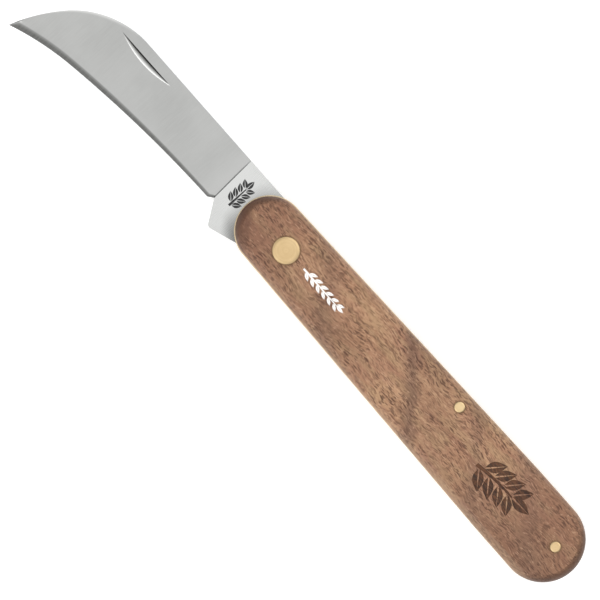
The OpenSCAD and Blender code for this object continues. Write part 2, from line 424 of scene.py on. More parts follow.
def finish_mesh(bm, name, crease=25):
    """Turns the faces outward, smooths them but for creases, and makes the piece's object."""
    bmesh.ops.remove_doubles(bm, verts=bm.verts, dist=1e-7)
    bmesh.ops.dissolve_degenerate(bm, edges=bm.edges, dist=1e-8)
    bmesh.ops.recalc_face_normals(bm, faces=bm.faces)
    mesh = bpy.data.meshes.new(name)
    bm.to_mesh(mesh)
    bm.free()
    mesh.shade_smooth()
    mesh.set_sharp_from_angle(angle=math.radians(crease))
    piece = add_object(name, mesh)
    print(name, len(mesh.vertices), "points,", len(mesh.polygons), "faces")
    return piece


def evaluated_mesh(piece):
    """The mesh of a piece as its modifiers leave it."""
    bpy.context.view_layer.update()
    return bpy.data.meshes.new_from_object(piece.evaluated_get(bpy.context.evaluated_depsgraph_get()))


def dress(piece, material, slot, body, *nodes):
    """Gives a finished piece its material and its body, and hides the parts of the frame that it stands
    for.
    """
    if not piece.data.materials:
        piece.data.materials.append(material)
    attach(piece, body)
    if nodes:
        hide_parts(*nodes)


# %% [markdown]
# ## The outline of the handle
# The handle swells gently from the rivet to the butt and is round at both ends. That is the
# line round three discs: one at the front, one at the butt, and one for the belly between
# them. Making the discs smaller by the same amount gives the outline at any inset exactly.

# %% Draw the outline
FRONT_RADIUS = 7.3
FRONT_Y = 0.17
BELLY_LENGTH = 10.5
butt_radius = (rear_high.y - rear_low.y) / 2
butt_middle = (rear_high.x - butt_radius, (rear_high.y + rear_low.y) / 2)
front_middle = (rear_low.x + FRONT_RADIUS, FRONT_Y)
belly_middle = (butt_middle[0] - BELLY_LENGTH, butt_middle[1])


def handle_outline(inset, more_at_front=0.0):
    """Points anticlockwise round the handle, a given distance inside its edge."""
    run = Vector(belly_middle) - Vector(front_middle)
    lean = math.degrees(math.atan2(run.y, run.x))
    flare = math.degrees(math.asin((butt_radius - FRONT_RADIUS) / run.length))
    top = lean + 90 + flare
    bottom = lean + 270 - flare
    wide = butt_radius - inset
    narrow = FRONT_RADIUS - inset - more_at_front
    butt = arc(butt_middle, wide, -90, 90, 90)
    belly_top = arc(belly_middle, wide, 90, top, 3)
    front = arc(front_middle, narrow, top, bottom, 90)
    belly_bottom = arc(belly_middle, wide, bottom, 270, 3)
    return (butt + line(butt[-1], belly_top[0], 8) + belly_top + line(belly_top[-1], front[0], 48)
            + front + line(front[-1], belly_bottom[0], 48) + belly_bottom
            + line(belly_bottom[-1], butt[0], 8))


print("outline has", len(handle_outline(0)), "points")

# %% [markdown]
# ## Sprig ornaments
# Three small marks decorate the knife: one burnt into the wood, one printed in white beside
# the rivet and one etched into the steel. Each is a plain leafy sprig. A sprig is a tapering
# stem with leaves on alternate sides, and every leaf is two halves with a vein left between
# them. Drawn as closed loops, the same sprig can be sunk, raised or etched.

# %% Draw a sprig
def leaf_halves(base, direction, length, width, vein):
    """Two closed loops, one on each side of the leaf's vein."""
    halves = []
    steps = 12
    along = Vector((math.cos(direction), math.sin(direction)))
    for side in (1, -1):
        across = Vector((-along.y, along.x)) * side
        outer = []
        inner = []
        for share in shares(steps):
            belly = width / 2 * math.sin(math.pi * share ** 0.85)
            gap = vein / 2 * (1 - share) + 0.02
            outer.append(tuple(Vector(base) + along * length * share + across * max(belly, gap)))
            inner.append(tuple(Vector(base) + along * length * share + across * gap))
        halves.append(inner + outer[::-1][1:-1])
    return halves


def sprig(centre, direction, length, leaf, leaf_width, pairs, spread, stem, vein, bow=0.0):
    """Loops of a sprig along a direction, in degrees, with its middle at the centre."""
    turn = math.radians(direction)
    along = Vector((math.cos(turn), math.sin(turn)))
    across = Vector((-along.y, along.x))

    def on_stem(share):
        lift = bow * (1 - (2 * share - 1) ** 2)
        return Vector(centre) + along * length * (share - 0.5) + across * lift

    steps = 16
    stem_end = 1 - 0.8 * leaf / length
    upper = []
    lower = []
    for i in range(steps + 1):
        share = stem_end * i / steps
        half = stem / 2 * (1 - 0.6 * i / steps)
        upper.append(tuple(on_stem(share) + across * half))
        lower.append(tuple(on_stem(share) - across * half))
    loops = [upper + lower[::-1]]
    for i in range(pairs):
        for side in (1, -1):
            share = (0.10 + 0.03 * side) + (stem_end - 0.14) * i / max(1, pairs - 1)
            size = 1 - 0.12 * i / pairs
            base = on_stem(share) + across * side * stem / 2
            lean = turn + side * math.radians(spread)
            loops += leaf_halves(base, lean, leaf * size, leaf_width * size, vein)
    loops += leaf_halves(on_stem(stem_end), turn, leaf * 1.05, leaf_width, vein)
    return loops


burnt_sprig = sprig((65.0, 0.7), direction=3, length=13.6, leaf=4.7, leaf_width=2.35,
                    pairs=4, spread=50, stem=0.85, vein=0.36, bow=0.5)
printed_sprig = sprig((10.95, 0.25), direction=0, length=11.6, leaf=1.9, leaf_width=0.72,
                      pairs=6, spread=27, stem=0.42, vein=0.0)
etched_sprig = sprig((-14.75, 0.65), direction=91, length=6.6, leaf=2.15, leaf_width=1.15,
                     pairs=4, spread=50, stem=0.55, vein=0.1)
print("burnt sprig has", len(burnt_sprig), "loops")

# %% [markdown]
# ## The walnut scales
# Each scale is a plate of walnut. Its outer edge is rounded over, but the round stops short of
# the flat and leaves a faint crease, as a sanded edge does. The rivet's head sinks into a
# stepped hole and the two pins go right through. The wood lies a hair inside the liners, and a
# little more so at the front end.

# %% Build a scale
SCALE_INSET = 0.08
MORE_AT_FRONT = 0.14
ROUND = 2.4
ROUND_END = 70
INNER_EDGE_WIDTH = 0.06
INNER_EDGE_HEIGHT = 0.08
BURNT_DEPTH = 0.12
PRINT_HEIGHT = 0.03
HOLE_GAP = 0.01
SHANK_RADIUS = 1.5
hole_centres = [(0.0, 0.0), spring_pin_at, butt_pin_at]
outer_radii = [head_radius, pin_radius, pin_radius]
inner_radii = [SHANK_RADIUS, pin_radius, pin_radius]


def circle(centre, radius, steps=64):
    return arc(centre, radius, 0, 360, steps)[:-1]


def build_scale(name, inner, outer, marks=()):
    """A scale between two levels, whose rounded face is at the outer one."""
    bm = bmesh.new()
    for layer in ("burnt", "printed"):
        bm.verts.layers.float.new(layer)
    up = 1 if outer > inner else -1
    drop = ROUND * math.sin(math.radians(ROUND_END))
    levels = [(INNER_EDGE_WIDTH, inner), (0.0, inner + up * INNER_EDGE_HEIGHT)]
    steps = 12
    for i in range(steps + 1):
        turn = math.radians(ROUND_END * i / steps)
        levels.append((ROUND * (1 - math.cos(turn)), outer - up * (drop - ROUND * math.sin(turn))))
    rings = [add_ring(bm, handle_outline(SCALE_INSET + inset, MORE_AT_FRONT), z) for inset, z in levels]
    join_rings(bm, *rings)
    outer_holes = []
    inner_holes = []
    for centre, outer_radius, inner_radius in zip(hole_centres, outer_radii, inner_radii):
        wide = circle(centre, outer_radius + HOLE_GAP)
        thin = circle(centre, inner_radius + HOLE_GAP)
        shaft = [add_ring(bm, wide, outer)]
        if outer_radius > inner_radius:
            ledge = outer - up * (head_height + HOLE_GAP)
            shaft += [add_ring(bm, wide, ledge), add_ring(bm, thin, ledge)]
        shaft.append(add_ring(bm, thin, inner))
        join_rings(bm, *shaft)
        outer_holes.append(shaft[0])
        inner_holes.append(shaft[-1])
    fill_face(bm, [rings[-1]] + outer_holes, outer, marks)
    fill_face(bm, [rings[0]] + inner_holes, inner)
    return finish_mesh(bm, name, 12)


front_marks = (("burnt", -BURNT_DEPTH, burnt_sprig), ("printed", PRINT_HEIGHT, printed_sprig))
front_scale = build_scale("walnut_front", scale_low.z, scale_high.z, front_marks)
rear_scale = build_scale("walnut_rear", rear_high.z, rear_low.z)

# %% [markdown]
# ## Oiled walnut
# Walnut's colour comes in layers. Wide bands of figure run slantwise where the saw cut across
# the growth rings, narrow streaks follow the grain, and open pores show as short dark dashes.
# Each layer is a pattern stretched along the handle. Faces that look along the handle are darker:
# partly end grain, which drinks more oil, and partly painted shade, as little light falls on them.
# The rounded long sides get a painted highlight, strongest along the lower edge. Oil gathers round
# the brass, where the wood goes olive.

# %% Mix the walnut
def mix_walnut(name):
    walnut = Finish(name)
    bend = walnut.noise(walnut.place((0.05, 0.09, 0.09)), 2)
    ripple = walnut.noise(walnut.place((0.38, 0.26, 0.26)), 1)
    x, y, z = walnut.place().split()
    grain_y = y + bend * 4 + ripple * 1.1

    def along_grain(along, across, shift):
        sockets = {"X": x * along + shift, "Y": grain_y * across, "Z": z * across}
        return walnut.node("ShaderNodeCombineXYZ", None, sockets)

    def grain(along, across, detail, roughness=0.5, shift=0.0):
        return walnut.noise(along_grain(along, across, shift), detail, roughness)

    streaks = grain(0.07, 0.7, 4, 0.6)
    fibres = grain(0.85, 3.0, 2, 0.55, 7.0)
    patches = walnut.noise(walnut.place((0.07, 0.16, 0.16), (3, 1, 0)), 2)

    # figure: slanting bands across the board, softened by a slow wander
    wander = walnut.noise(walnut.place((0.09, 0.13, 0.13), (11, 0, 0)), 3)
    slant = x * 0.72 + y * 0.70 + wander * 9
    bands = ((31.5, 1.7, 1.0), (13.0, 2.2, 0.6), (46.5, 1.7, 0.6), (58.5, 2.5, 0.55), (36.5, 3.0, 0.35))
    figure = sum(slant.hump(middle, width) * strength for middle, width, strength in bands)

    # pores: short dashes, in a long and a short size
    def pores(along, across, share, size, shift):
        sockets = {"Vector": along_grain(along, across, shift), "Scale": 1.0}
        spots = walnut.node("ShaderNodeTexVoronoi", None, sockets, "Distance")
        chance = walnut.node("ShaderNodeSeparateColor", None, {0: spots.beside("Color")})
        return (1 - spots.step(size * 0.6, size)) * chance.step(share, share + 0.12)

    crowd = walnut.noise(walnut.place((0.11, 0.3, 0.3), (5, 9, 0)), 2).step(0.36, 0.62)
    long_pores = pores(0.50, 2.6, 0.28, 0.45, 0.0)
    short_pores = pores(0.72, 3.3, 0.32, 0.43, 31.0)
    wavy_pores = grain(0.78, 2.9, 1.5, 0.5, 19.0).step(0.58, 0.63)
    fine_pores = grain(1.5, 5.0, 1.5, 0.5, 43.0).step(0.57, 0.64)
    dashes = long_pores.sum("MAXIMUM", short_pores * 0.9).sum("MAXIMUM", wavy_pores * 0.65)
    pore_mask = dashes.sum("MAXIMUM", fine_pores * 0.3) * (crowd * 0.5 + 0.5)

    base_stops = [(0.26, paint(108, 74, 52)), (0.42, paint(148, 108, 79)), (0.54, paint(169, 128, 96)),
                  (0.66, paint(188, 148, 113)), (0.80, paint(210, 172, 135))]
    tone = streaks * 0.58 + fibres * 0.42
    colour = walnut.node("ShaderNodeValToRGB", {"stops": base_stops}, {"Fac": tone})
    tan = walnut.noise(walnut.place((0.13, 0.4, 0.4), (21, 6, 0)), 2).step(0.45, 0.65)
    shade = (1 - (y + wander * 4).step(-2.5, 3.5)) * (1 - x.step(14, 34)).sum("MAXIMUM", x.step(50, 66))
    ends = (1 - x.step(-8, 7)).sum("MAXIMUM", x.step(64, 76))
    flecks = grain(0.9, 3.4, 1.5, 0.5, 61.0).step(0.60, 0.68)

    facing = walnut.node("ShaderNodeTexCoord", output="Normal").split()
    # faces that look along the handle: darker end grain, and painted shade where little light falls
    end_grain_and_shade = abs(facing[0]).step(0.14, 0.60)
    # painted highlight on the rounded long sides, which face the side lights
    side_highlight = abs(facing[1]).step(0.3, 0.98)
    lower_edge_highlight = (1 - (y + wander * 0.9).step(-6.9, -6.3)) * x.step(10, 24)
    # darker towards the lower corner of the front end
    front_corner_dark = ((x * -0.8 - y * 0.6) + (wander - 0.5) * 2.5).step(7.6, 8.7)

    # oil round the brass
    rings = None
    for (cx, cy), radius in zip(hole_centres, outer_radii):
        away_x = x - cx
        away_y = y - cy
        away = (away_x * away_x + away_y * away_y).sum("SQRT")
        ring = 1 - away.step(radius + 0.05, radius + 0.55)
        rings = ring if rings is None else rings.sum("MAXIMUM", ring)
    flat = abs(facing[2]).step(0.9, 0.99)

    burnt = walnut.attribute("burnt")
    char = walnut.blend(fibres.step(0.3, 0.7), paint(40, 20, 9), paint(94, 57, 33))
    printed = walnut.attribute("printed")
    worn = 1 - walnut.noise(walnut.place((3, 3, 3)), 2).step(0.62, 0.72) * 0.5
    colour = walnut.layer(
        colour,
        (patches.step(0.40, 0.64) * 0.4, paint(152, 105, 84)),
        (tan * 0.35, paint(166, 138, 100)),
        (shade * 0.35, paint(112, 80, 60)),
        (ends * 0.5, paint(116, 76, 56)),
        (figure.sum("MINIMUM", 1.0) * 0.68, paint(108, 78, 62)),
        (flecks * 0.3, paint(206, 166, 134)),
        (pore_mask * 0.84, paint(76, 46, 31)),
        # painted highlight on the rounded sides, widest along the lower edge
        (lower_edge_highlight.sum("MAXIMUM", side_highlight * 0.4) * 0.2, paint(182, 154, 124)),
        # end grain and painted shade on the faces that look along the handle
        (end_grain_and_shade * 0.70, paint(66, 41, 28)),
        (front_corner_dark * (1 - y.step(-1.5, 1.5)) * 0.5, paint(84, 52, 36)),
        (rings * flat * 0.55, paint(96, 70, 36)),
        (burnt * 0.94, char),
        (printed * worn, paint(248, 244, 240)),
    )

    height = fibres * 0.35 - pore_mask
    bump = walnut.bump(height, 0.5, 0.00006)
    gloss = (fibres * 0.18 + 0.44 + pore_mask * 0.12 + burnt * 0.15).sum("MINIMUM", 1.0)
    return walnut.close({"Base Color": colour, "Roughness": gloss, "Normal": bump,
                         "Coat Weight": 0.06, "Coat Roughness": 0.35, "Specular IOR Level": 0.35})


walnut_material = mix_walnut("oiled_walnut")
dress(front_scale, walnut_material, "walnut", "handle", "front_scale")
dress(rear_scale, walnut_material, "walnut", "handle", "rear_scale")

# %% [markdown]
# ## Brass
# The liners, the rivet and the pins are brass. Turned faces carry fine rings round their own
# centre, and sheet brass has long sanding lines. Both get small scratches and a slight
# darkening where fingers don't rub. The turned finish is made once for each centre, because
# a Mapping node moves the pattern there.

# %% Mix the brass
def mix_brass(name, dull, bright, centre=None):
    brass = Finish(name)
    scratches = brass.noise(brass.place((0.6, 9, 9), (2, 5, 0)), 3, 0.65)
    cloud = brass.noise(brass.place((0.35, 0.35, 0.35), (8, 0, 0)), 3)
    if centre is None:
        lines = brass.noise(brass.place((0.12, 14, 14)), 2)
    else:
        place = brass.place((1, 1, 0), (*centre, 0))
        length = brass.node("ShaderNodeVectorMath", {"operation": "LENGTH"}, {0: place}, "Value")
        sockets = {"X": length * 9, "Y": 0.5, "Z": 0.5}
        lines = brass.noise(brass.node("ShaderNodeCombineXYZ", None, sockets), 2)
    worn = (cloud.step(0.35, 0.7), paint(*bright))
    colour = brass.layer(paint(*dull), worn, (lines.step(0.3, 0.75) * 0.3, paint(218, 193, 150)))
    height = lines * 0.6 + scratches * 0.4
    bump = brass.bump(height, 0.12, 0.00002)
    gloss = cloud * 0.16 + scratches * 0.1 + 0.24
    return brass.close({"Base Color": colour, "Metallic": 1.0, "Roughness": gloss, "Normal": bump})


liner_brass = mix_brass("sanded_brass", (212, 191, 156), (228, 208, 174))
rivet_brass = mix_brass("turned_brass_rivet", (190, 163, 121), (199, 172, 130), (0, 0))
spring_pin_brass = mix_brass("turned_brass_spring_pin", (202, 176, 134), (212, 187, 146), spring_pin_at)
butt_pin_brass = mix_brass("turned_brass_butt_pin", (196, 168, 126), (206, 179, 137), butt_pin_at)

# %% [markdown]
# ## The liners
# A liner is a sheet of brass with the handle's outline. It stands a hair proud of the wood, so
# that a thin bright line runs round the handle. A small chamfer takes off its sharp edge.

# %% Build the liners
CHAMFER = 0.12


def build_liner(name, low, high):
    bm = bmesh.new()
    levels = [(CHAMFER, low), (0, low + CHAMFER), (0, high - CHAMFER), (CHAMFER, high)]
    rings = [add_ring(bm, handle_outline(inset), level) for inset, level in levels]
    join_rings(bm, *rings)
    bottoms = []
    tops = []
    for centre, radius in zip(hole_centres, inner_radii):
        hole = circle(centre, radius + HOLE_GAP)
        bottoms.append(add_ring(bm, hole, low))
        tops.append(add_ring(bm, hole, high))
        join_rings(bm, bottoms[-1], tops[-1])
    fill_face(bm, [rings[0]] + bottoms, low)
    fill_face(bm, [rings[-1]] + tops, high)
    return finish_mesh(bm, name)


for node in ("rear_liner", "front_liner"):
    low, high = box_mm(node)
    sheet_brass = build_liner("brass_" + node, low.z, high.z)
    dress(sheet_brass, liner_brass, "liner_brass", "handle", node)

# %% [markdown]
# ## The rivet and the pins
# These are turned parts: a rod whose radius changes along its axis. One Geometry Nodes tree
# makes them all. It draws a line of four points up the axis, gives each its radius, and sweeps
# a circle along it. The end rings are drawn in by the bevel, which is the bright rim that
# shows round each pin once it has been filed flush with the wood.

# %% Turn the rods with Geometry Nodes
def build_rod_tree():
    tree = bpy.data.node_groups.new("turned_rod", "GeometryNodeTree")
    tree.interface.new_socket("Geometry", in_out="OUTPUT", socket_type="NodeSocketGeometry")
    kinds = {name: "NodeSocketFloat" for name in ("Radius", "Bottom", "Top", "Bevel width", "Bevel height")}
    kinds |= {"Centre": "NodeSocketVector", "Material": "NodeSocketMaterial"}
    for name, kind in kinds.items():
        tree.interface.new_socket(name, in_out="INPUT", socket_type=kind)

    rod = Graph(tree)
    given = rod.node("NodeGroupInput").beside
    index = rod.node("GeometryNodeInputIndex")
    upper = index.sum("GREATER_THAN", 1.5)
    at_end = index.sum("LESS_THAN", 0.5) + index.sum("GREATER_THAN", 2.5)
    step = (1 - at_end) * (1 - upper * 2) * given("Bevel height")
    height = given("Bottom") + upper * (given("Top") - given("Bottom")) + step
    radius = given("Radius") - at_end * given("Bevel width")
    point = rod.node("ShaderNodeCombineXYZ", None, {"Z": height})
    shifted = rod.node("ShaderNodeVectorMath", {"operation": "ADD"}, {0: point, 1: given("Centre")})
    axis = rod.node("GeometryNodeMeshLine", None, {"Count": 4})
    placed = rod.node("GeometryNodeSetPosition", None, {"Geometry": axis, "Position": shifted})
    curve = rod.node("GeometryNodeMeshToCurve", None, {"Mesh": placed})
    sized = rod.node("GeometryNodeSetCurveRadius", None, {"Curve": curve, "Radius": radius})
    profile = rod.node("GeometryNodeCurvePrimitiveCircle", None, {"Resolution": 64, "Radius": 1.0})
    sockets = {"Curve": sized, "Profile Curve": profile, "Fill Caps": True}
    swept = rod.node("GeometryNodeCurveToMesh", None, sockets)
    scale = swept.socket.node.inputs.get("Scale")
    if scale:
        tree.links.new(radius.socket, scale)
    real = rod.node("GeometryNodeRealizeInstances", None, {"Geometry": swept})
    sockets = {"Geometry": real, "Material": given("Material")}
    coated = rod.node("GeometryNodeSetMaterial", None, sockets)
    rod.node("NodeGroupOutput", None, {"Geometry": coated})
    return tree


rod_tree = build_rod_tree()


def run_tree(name, tree, values):
    """Runs a tree on an empty mesh and returns the mesh that it makes."""
    holder = add_object(name + "_holder", bpy.data.meshes.new(name + "_holder"))
    modifier = holder.modifiers.new("tree", "NODES")
    modifier.node_group = tree
    for socket in tree.interface.items_tree:
        if socket.in_out == "INPUT":
            modifier[socket.identifier] = values[socket.name]
    made = evaluated_mesh(holder)
    bpy.data.objects.remove(holder)
    return made


def turn_rod(name, centre, radius, bottom, top, bevel_width, bevel_height, material):
    values = {"Radius": radius * MM, "Bottom": bottom * MM, "Top": top * MM, "Material": material,
              "Bevel width": bevel_width * MM, "Bevel height": bevel_height * MM,
              "Centre": (centre[0] * MM, centre[1] * MM, 0)}
    return run_tree(name, rod_tree, values)


ROD_CREASE = 8


def piece_from(name, meshes, material):
    """Joins meshes into one piece with one material."""
    bm = bmesh.new()
    for mesh in meshes:
        bm.from_mesh(mesh)
    piece = finish_mesh(bm, name, ROD_CREASE)
    piece.data.materials.clear()
    piece.data.materials.append(material)
    for face in piece.data.polygons:
        face.material_index = 0
    return piece


HEAD_BEVEL = (0.42, 0.11)
SHANK_BEVEL = (0.15, 0.08)
PIN_BEVEL = (0.2, 0.07)
SHANK_SINK = 0.02
knife_top = scale_high.z
head_bottom = knife_top - head_height
shank_top = head_bottom + SHANK_SINK
shank = turn_rod("shank", (0, 0), SHANK_RADIUS, SHANK_SINK, shank_top, *SHANK_BEVEL, rivet_brass)
head = turn_rod("head", (0, 0), head_radius, head_bottom, knife_top, *HEAD_BEVEL, rivet_brass)
rivet = piece_from("brass_pivot_rivet", [shank, head], rivet_brass)
dress(rivet, rivet_brass, "rivet_brass", "handle", "pivot_rivet")
pins = (("spring_pin", spring_pin_at, spring_pin_brass), ("butt_pin", butt_pin_at, butt_pin_brass))
for node, centre, brass in pins:
    rod = turn_rod(node, centre, pin_radius, 0.0, knife_top, *PIN_BEVEL, brass)
    dress(piece_from("brass_" + node, [rod], brass), brass, "rivet_brass", "handle", node)

# %% [markdown]
# ## The rivet's collar
# At the back the rivet's shank is spread into a collar, a flat ring. It could be swept, but
# five rings of points are enough: each corner of its section is one ring, and bands join
# them. Its bevel matches the head on the front.

# %% Build the collar
def build_collar():
    bm = bmesh.new()
    bore = SHANK_RADIUS + HOLE_GAP
    corners = [(bore, head_height), (bore, 0.0), (head_radius - HEAD_BEVEL[0], 0.0),
               (head_radius, HEAD_BEVEL[1]), (head_radius, head_height)]
    rings = [add_ring(bm, circle((0, 0), radius), level) for radius, level in corners]
    join_rings(bm, *rings, rings[0])
    return finish_mesh(bm, "brass_rivet_collar", ROD_CREASE)


collar = build_collar()
dress(collar, rivet_brass, "rivet_brass", "handle", "rivet_collar")

# %% [markdown]
# ## The outline of the blade
# The blade has three zones: the tang, which turns on the rivet; the ground face, which thins
# towards the edge; and the bevel that does the cutting. The spine runs straight, then bends
# twice towards the hooked tip, and the edge is two long hollow arcs. Points at equal shares
# of the two lines are joined by straight sections, and that ruling is how the blade is ground.

# %% Draw the spine and the edge
SPINE_Y = 6.8
TANG_HALF = (blade_high.z - blade_low.z) / 2
heel = (-19.0, -4.75)
notch = (-17.8, -3.839)
plunge_top = (-18.438, SPINE_Y)
BEND_RADIUS = 20.7
BEND_TURN = 53.3
HOOK_RADIUS = 35.3
HOOK_Y = -22.625
tip = (blade_low.x, -12.0)
hook_middle = (tip[0] + math.sqrt(HOOK_RADIUS ** 2 - (tip[1] - HOOK_Y) ** 2), HOOK_Y)
bend_shift = (HOOK_RADIUS - BEND_RADIUS) * math.sin(math.radians(BEND_TURN))
bend_middle = (hook_middle[0] - bend_shift, SPINE_Y - BEND_RADIUS)
tip_turn = math.degrees(math.atan2(tip[1] - hook_middle[1], tip[0] - hook_middle[0]))
straight_length = plunge_top[0] - bend_middle[0]
bend_length = BEND_RADIUS * math.radians(BEND_TURN)
hook_length = HOOK_RADIUS * math.radians(tip_turn - 90 - BEND_TURN)
spine_length = straight_length + bend_length + hook_length


def on_circle(centre, radius, turn):
    return Vector(centre) + radius * Vector((math.cos(turn), math.sin(turn)))


def spine_point(share):
    run = share * spine_length
    if run <= straight_length:
        return Vector((plunge_top[0] - run, SPINE_Y))
    if run <= straight_length + bend_length:
        turn = math.radians(90) + (run - straight_length) / BEND_RADIUS
        return on_circle(bend_middle, BEND_RADIUS, turn)
    turn = math.radians(90 + BEND_TURN) + (run - straight_length - bend_length) / HOOK_RADIUS
    return on_circle(hook_middle, HOOK_RADIUS, turn)


HEADINGS = [math.radians(a) for a in (0.8, 8.7, 22.5)]


def sweep(start, end):
    """How far an arc of radius 1 goes while its heading turns from start to end."""
    return Vector((math.sin(start) - math.sin(end), math.cos(end) - math.cos(start)))


arc_a = sweep(HEADINGS[0], HEADINGS[1])
arc_b = sweep(HEADINGS[1], HEADINGS[2])
reach_to_tip = Vector(tip) - Vector(heel)
det = arc_a.x * arc_b.y - arc_a.y * arc_b.x
edge_radius_a = (reach_to_tip.x * arc_b.y - reach_to_tip.y * arc_b.x) / det
edge_radius_b = (arc_a.x * reach_to_tip.y - arc_a.y * reach_to_tip.x) / det
entry_length = (Vector(heel) - Vector(notch)).length
length_a = edge_radius_a * (HEADINGS[1] - HEADINGS[0])
length_b = edge_radius_b * (HEADINGS[2] - HEADINGS[1])
edge_length = entry_length + length_a + length_b


def edge_point(share):
    run = share * edge_length
    if run <= entry_length:
        return Vector(notch).lerp(Vector(heel), run / entry_length)
    run -= entry_length
    if run <= length_a:
        return Vector(heel) + edge_radius_a * sweep(HEADINGS[0], HEADINGS[0] + run / edge_radius_a)
    run -= length_a
    start = Vector(heel) + edge_radius_a * arc_a
    return start + edge_radius_b * sweep(HEADINGS[1], HEADINGS[1] + run / edge_radius_b)


print("spine", round(spine_length, 2), "edge", round(edge_length, 2), "ends", edge_point(1), spine_point(1))

# %% [markdown]
# ## The tang
# The tang is a flat plate round the bore. Its outline is cam, kick and step: the cam rubs on
# the spring, the kick lands on it when the blade is shut, and the step stops the blade open.
# It is drawn with the same arcs as the engineering model, because the gaps there are small.

# %% Draw the tang
CLOSE = 169
SEAT_Y = 4.6
CAM_RADIUS = 5.3
KICK_RADIUS = 0.9
kick = Vector((-13.95, -7.739))
STEP_X = -4.4
STEP_TOP = 7.426
STEP_END_X = -8.0
STEP_POINTS = 8
closed_end = Vector((-5.503, -5.756))
closed_turn = 90 - CLOSE
cam_half = math.degrees(math.acos(SEAT_Y / CAM_RADIUS))


def tang_outline():
    """Points round the tang from the notch, by the kick and the cam, to the top of the plunge."""
    points = [Vector(notch)]
    points += [Vector(p) for p in arc(kick, KICK_RADIUS, 210, 289, 12)]
    points.append(closed_end)
    points += [Vector(p) for p in arc((0, 0), CAM_RADIUS, closed_turn + cam_half, 90 - cam_half, 60)]
    points.append(Vector((STEP_X, SEAT_Y)))
    points.append(Vector((STEP_X, STEP_TOP)))
    for share in shares(STEP_POINTS)[1:]:
        ease = share * share * (3 - 2 * share)
        fall = STEP_TOP + (SPINE_Y - STEP_TOP) * ease
        points.append(Vector((STEP_X + (STEP_END_X - STEP_X) * share, fall)))
    points.append(Vector(plunge_top))
    return [tuple(p) for p in points]


# %% [markdown]
# ## The blade's steel body
# One face is made first: the tang is filled round the bore and the ornament, and the ground
# part is a grid of sections. A narrow hollow along the plunge line carries one into the other.
# The face is then mirrored through the middle of the blade, and walls join the two borders.

# %% Build the blade
BORE_RADIUS = SHANK_RADIUS + 0.05
SPINE_THICK = 2.15
TIP_THICK = 0.9
SHOULDER = 0.5
BEVEL_HEEL = 0.8
BEVEL_TIP = 1.7
BEVEL_LIMIT = 0.85
TIP_FADE = 0.03
EDGE_HALF = 0.012
ETCH_DEPTH = 0.03
SECTIONS = 150
FACE_ROWS = 14
BEVEL_ROWS = 5
PLUNGE_WIDTH = 0.42
BLADE_CREASE = 16
# where the painted highlight along the spine begins, and how far it takes to reach full strength
SPINE_HIGHLIGHT_START = 0.5
SPINE_HIGHLIGHT_RISE = 0.15


def section(share):
    """One section from spine to edge: its points, half thicknesses and how far down the bevel."""
    top = spine_point(share)
    bottom = edge_point(share)
    span = (top - bottom).length
    bevel = min(BEVEL_HEEL + (BEVEL_TIP - BEVEL_HEEL) * share, span * BEVEL_LIMIT)
    fade = min(1.0, (1 - share) / TIP_FADE)
    thick = (SPINE_THICK + (TIP_THICK - SPINE_THICK) * share) / 2 * fade
    shoulder = min(SHOULDER / 2, thick) * (0.3 + 0.7 * fade)
    body = span - bevel
    rows = [(part * body, thick + (shoulder - thick) * part, 0.0) for part in shares(FACE_ROWS)]
    rows += [(body + bevel * part, shoulder * (1 - part) + EDGE_HALF * part * fade, part)
             for part in shares(BEVEL_ROWS)[1:]]
    return [(top.lerp(bottom, run / span if span > 1e-9 else 0), half, part) for run, half, part in rows]


def section_shares():
    """The first sections are close together, because the plunge is a narrow hollow."""
    first = [0.0, 0.25, 0.5, 0.75, 1.0]
    width = PLUNGE_WIDTH / spine_length
    return [s * width for s in first] + [width + (1 - width) * i / SECTIONS for i in range(1, SECTIONS + 1)]


def build_face(bm, side, marks):
    """One face of the blade, on the side +1 or -1 of its middle."""
    tang_layer = bm.verts.layers.float["tang"]
    bevel_layer = bm.verts.layers.float["bevel"]
    spine_highlight_layer = bm.verts.layers.float["crown"]
    grid = []
    for share in section_shares():
        hollow = min(1.0, share * spine_length / PLUNGE_WIDTH)
        column = []
        for point, half, part in section(share):
            ease = 1 - (1 - hollow) ** 2.2
            depth = TANG_HALF + (half - TANG_HALF) * math.sqrt(max(0.0, ease))
            vertex = bm.verts.new((point.x * MM, point.y * MM, (middle_z + side * depth) * MM))
            vertex[tang_layer] = 1.0 if share == 0 else 0.0
            vertex[bevel_layer] = part * hollow
            column.append(vertex)
        # painted highlight along the outer half of the spine
        column[0][spine_highlight_layer] = min(1.0, max(0.0, (share - SPINE_HIGHLIGHT_START) / SPINE_HIGHLIGHT_RISE))
        grid.append(column)
    for first, second in zip(grid, grid[1:]):
        for i in range(len(first) - 1):
            bm.faces.new((first[i], first[i + 1], second[i + 1], second[i]))
    outline = tang_outline()
    plunge = [(v.co.x / MM, v.co.y / MM) for v in grid[0][1:-1]]
    level = middle_z + side * TANG_HALF
    tang_ring = add_ring(bm, outline + plunge, level)
    bore = add_ring(bm, circle((0, 0), BORE_RADIUS), level)
    for vertex in tang_ring + bore:
        vertex[tang_layer] = 1.0
    before = set(bm.verts)
    fill_face(bm, [tang_ring, bore], level, marks)
    for vertex in set(bm.verts) - before:
        vertex[tang_layer] = 1.0
    spine = [column[0] for column in grid]
    edge = [column[-1] for column in grid]
    rim = tang_ring[:len(outline)][::-1]
    return rim, spine, edge, bore


